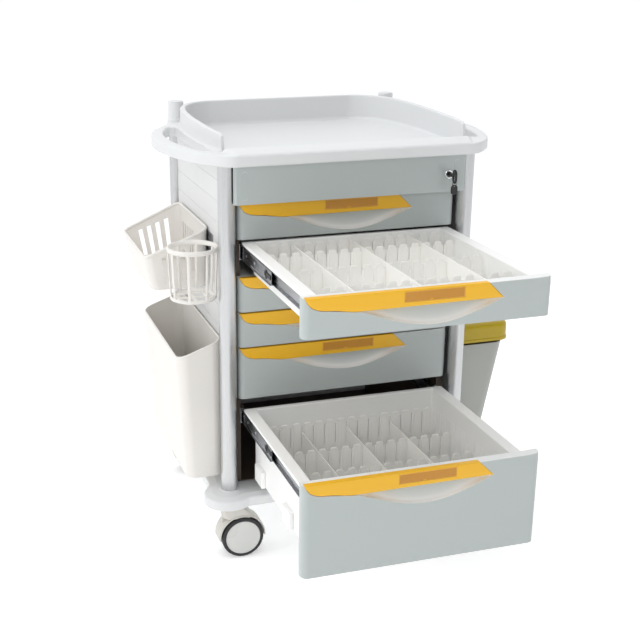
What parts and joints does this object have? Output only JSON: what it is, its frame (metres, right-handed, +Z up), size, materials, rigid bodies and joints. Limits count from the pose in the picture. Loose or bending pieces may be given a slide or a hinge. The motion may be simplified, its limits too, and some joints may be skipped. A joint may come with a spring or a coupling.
{
  "type": "medication cart",
  "caption": "Wheeled medication cart with a stack of drawers between round posts, a railed worktop with side handles, and hung bins, basket and cup holder.",
  "frame": {"origin": "on the floor under the middle of the whole footprint, open drawers included", "axes": "+Z up, +X to the right of a person who faces the drawers, drawers open towards -Y"},
  "size_m": [0.909, 0.984, 1.003],
  "materials": {
    "white_abs": "smooth moulded, light sheen",
    "front_blue_grey": "smooth moulded, satin",
    "handle_yellow": "smooth moulded, light sheen",
    "tray_white": "fine moulded texture",
    "divider_white": "smooth moulded",
    "panel_white": "powder coat",
    "frame_dark": "dark powder coat",
    "chassis_steel": "powder coat",
    "post_aluminium": "satin anodised",
    "slide_steel": "zinc plated",
    "screw_steel": "zinc plated",
    "lock_chrome": "polished",
    "key_black": "moulded bow",
    "caster_grey": "moulded",
    "wheel_black": "moulded tyre on a grey hub",
    "bin_white": "smooth moulded",
    "bin_grey": "smooth moulded",
    "lid_yellow": "smooth moulded"
  },
  "bodies": {
    "cabinet": {"worktop": "white_abs", "base_cover": "white_abs", "base_frame": "chassis_steel", "corner_posts": "post_aluminium", "side_panels": "panel_white", "rear_panel": "panel_white", "rear_screws": "screw_steel", "drawer_frame": "frame_dark", "lock_panel": "front_blue_grey", "lock_housing": "lock_chrome", "slide_cabinet_members": "slide_steel", "accessory_hooks": "slide_steel", "waste_bin": "bin_white", "basket": "bin_white", "cup_holder": "bin_white", "side_bin": "bin_grey", "lock_bar": "slide_steel"},
    "drawer_1": {"drawer_front_1": "front_blue_grey", "handle_1": "handle_yellow", "drawer_tray_1": "tray_white", "slide_inner_1": "slide_steel"},
    "slide_middle_1": {"slide_middle_1": "slide_steel"},
    "drawer_2": {"drawer_front_2": "front_blue_grey", "handle_2": "handle_yellow", "drawer_tray_2": "tray_white", "slide_inner_2": "slide_steel", "dividers_2": "divider_white"},
    "slide_middle_2": {"slide_middle_2": "slide_steel"},
    "drawer_3": {"drawer_front_3": "front_blue_grey", "handle_3": "handle_yellow", "drawer_tray_3": "tray_white", "slide_inner_3": "slide_steel"},
    "slide_middle_3": {"slide_middle_3": "slide_steel"},
    "drawer_4": {"drawer_front_4": "front_blue_grey", "handle_4": "handle_yellow", "drawer_tray_4": "tray_white", "slide_inner_4": "slide_steel"},
    "slide_middle_4": {"slide_middle_4": "slide_steel"},
    "drawer_5": {"drawer_front_5": "front_blue_grey", "handle_5": "handle_yellow", "drawer_tray_5": "tray_white", "slide_inner_5": "slide_steel"},
    "slide_middle_5": {"slide_middle_5": "slide_steel"},
    "drawer_6": {"drawer_front_6": "front_blue_grey", "handle_6": "handle_yellow", "drawer_tray_6": "tray_white", "slide_inner_6": "slide_steel", "dividers_6": "divider_white"},
    "slide_middle_6": {"slide_middle_6": "slide_steel"},
    "caster_front_left": {"caster_front_left": "caster_grey"},
    "wheels_front_left": {"wheels_front_left": "wheel_black"},
    "caster_front_right": {"caster_front_right": "caster_grey"},
    "wheels_front_right": {"wheels_front_right": "wheel_black"},
    "caster_rear_left": {"caster_rear_left": "caster_grey"},
    "wheels_rear_left": {"wheels_rear_left": "wheel_black"},
    "caster_rear_right": {"caster_rear_right": "caster_grey"},
    "wheels_rear_right": {"wheels_rear_right": "wheel_black"},
    "key": {"key": "key_black"},
    "spare_key": {"spare_key": "key_black"},
    "bin_lid": {"side_bin_lid": "lid_yellow"}
  },
  "joints": [
    {"name": "drawer_1_slide", "type": "slide", "parent": "cabinet", "child": "drawer_1", "axis": [0, -1, 0], "range_m": [0, 0.445]},
    {"name": "slide_middle_1_travel", "type": "slide", "parent": "cabinet", "child": "slide_middle_1", "axis": [0, -1, 0], "range_m": [-0.0001, 0.2226]},
    {"name": "drawer_2_slide", "type": "slide", "parent": "cabinet", "child": "drawer_2", "axis": [0, -1, 0], "range_m": [-0.436, 0.009]},
    {"name": "slide_middle_2_travel", "type": "slide", "parent": "cabinet", "child": "slide_middle_2", "axis": [0, -1, 0], "range_m": [-0.2181, 0.0046]},
    {"name": "drawer_3_slide", "type": "slide", "parent": "cabinet", "child": "drawer_3", "axis": [0, -1, 0], "range_m": [0, 0.445]},
    {"name": "slide_middle_3_travel", "type": "slide", "parent": "cabinet", "child": "slide_middle_3", "axis": [0, -1, 0], "range_m": [-0.0001, 0.2226]},
    {"name": "drawer_4_slide", "type": "slide", "parent": "cabinet", "child": "drawer_4", "axis": [0, -1, 0], "range_m": [0, 0.445]},
    {"name": "slide_middle_4_travel", "type": "slide", "parent": "cabinet", "child": "slide_middle_4", "axis": [0, -1, 0], "range_m": [-0.0001, 0.2226]},
    {"name": "drawer_5_slide", "type": "slide", "parent": "cabinet", "child": "drawer_5", "axis": [0, -1, 0], "range_m": [0, 0.445]},
    {"name": "slide_middle_5_travel", "type": "slide", "parent": "cabinet", "child": "slide_middle_5", "axis": [0, -1, 0], "range_m": [-0.0001, 0.2226]},
    {"name": "drawer_6_slide", "type": "slide", "parent": "cabinet", "child": "drawer_6", "axis": [0, -1, 0], "range_m": [-0.445, 0]},
    {"name": "slide_middle_6_travel", "type": "slide", "parent": "cabinet", "child": "slide_middle_6", "axis": [0, -1, 0], "range_m": [-0.2226, 0.0001]},
    {"name": "caster_front_left_swivel", "type": "hinge", "parent": "cabinet", "child": "caster_front_left", "pos_m": [-0.2995, -0.044, 0.12], "axis": [0, 0, 1], "continuous": true},
    {"name": "wheels_front_left_roll", "type": "hinge", "parent": "caster_front_left", "child": "wheels_front_left", "pos_m": [-0.2745, -0.044, 0.05], "axis": [0, 1, 0], "continuous": true},
    {"name": "caster_front_right_swivel", "type": "hinge", "parent": "cabinet", "child": "caster_front_right", "pos_m": [0.2605, -0.044, 0.12], "axis": [0, 0, 1], "continuous": true},
    {"name": "wheels_front_right_roll", "type": "hinge", "parent": "caster_front_right", "child": "wheels_front_right", "pos_m": [0.2855, -0.044, 0.05], "axis": [0, 1, 0], "continuous": true},
    {"name": "caster_rear_left_swivel", "type": "hinge", "parent": "cabinet", "child": "caster_rear_left", "pos_m": [-0.2995, 0.428, 0.12], "axis": [0, 0, 1], "continuous": true},
    {"name": "wheels_rear_left_roll", "type": "hinge", "parent": "caster_rear_left", "child": "wheels_rear_left", "pos_m": [-0.2745, 0.428, 0.05], "axis": [0, 1, 0], "continuous": true},
    {"name": "caster_rear_right_swivel", "type": "hinge", "parent": "cabinet", "child": "caster_rear_right", "pos_m": [0.2605, 0.428, 0.12], "axis": [0, 0, 1], "continuous": true},
    {"name": "wheels_rear_right_roll", "type": "hinge", "parent": "caster_rear_right", "child": "wheels_rear_right", "pos_m": [0.2855, 0.428, 0.05], "axis": [0, 1, 0], "continuous": true},
    {"name": "key_turn", "type": "hinge", "parent": "cabinet", "child": "key", "pos_m": [0.207, -0.07, 0.8826], "axis": [0, 1, 0], "range_deg": [0, 90]},
    {"name": "spare_key_swing", "type": "hinge", "parent": "key", "child": "spare_key", "pos_m": [0.207, -0.099, 0.8694], "axis": [1, 0, 0], "range_deg": [-30, 30]},
    {"name": "bin_lid_hinge", "type": "hinge", "parent": "cabinet", "child": "bin_lid", "pos_m": [0.2765, 0.152, 0.47], "axis": [0, -1, 0], "range_deg": [0, 85]}
  ],
  "couplings": [
    {"joint": "slide_middle_1_travel", "follows": "drawer_1_slide", "ratio": 0.5},
    {"joint": "slide_middle_2_travel", "follows": "drawer_2_slide", "ratio": 0.5},
    {"joint": "slide_middle_3_travel", "follows": "drawer_3_slide", "ratio": 0.5},
    {"joint": "slide_middle_4_travel", "follows": "drawer_4_slide", "ratio": 0.5},
    {"joint": "slide_middle_5_travel", "follows": "drawer_5_slide", "ratio": 0.5},
    {"joint": "slide_middle_6_travel", "follows": "drawer_6_slide", "ratio": 0.5}
  ]
}
